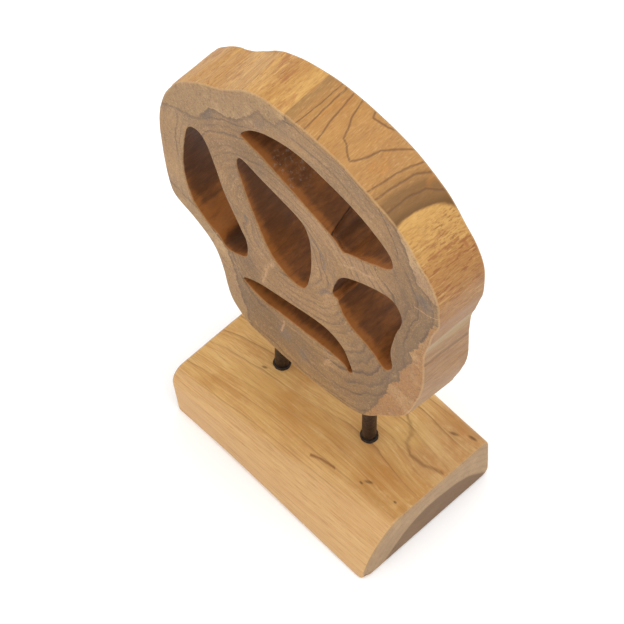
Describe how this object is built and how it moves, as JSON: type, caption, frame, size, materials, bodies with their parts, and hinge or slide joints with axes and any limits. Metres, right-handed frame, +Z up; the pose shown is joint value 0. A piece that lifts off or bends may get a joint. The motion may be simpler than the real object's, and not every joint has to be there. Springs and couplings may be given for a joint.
{
  "type": "carved wood slice sculpture",
  "caption": "Upright slice of a teak trunk with lobed outline and leaf-shaped through openings, held on two steel rods above a teak block with a worn front edge.",
  "frame": {"origin": "middle of the base, on its underside, where the object rests on its surface", "axes": "+Z up, along the height; +X along the slice's width, to the right when its front is seen; +Y from the front face to the back"},
  "size_m": [0.251, 0.12, 0.4012],
  "materials": {
    "slice_wood": "satin, sanded and oiled teak; the walls of the openings are darker",
    "base_wood": "satin, sanded and oiled teak, grain along X",
    "rod_steel": "dark brown-black coating, semi-gloss",
    "glue": "dark, glossy, hardened adhesive"
  },
  "bodies": {
    "root": {"trunk_slice": "slice_wood", "base": "base_wood", "left_rod": "rod_steel", "right_rod": "rod_steel", "left_glue_bead": "glue", "right_glue_bead": "glue"}
  },
  "joints": []
}
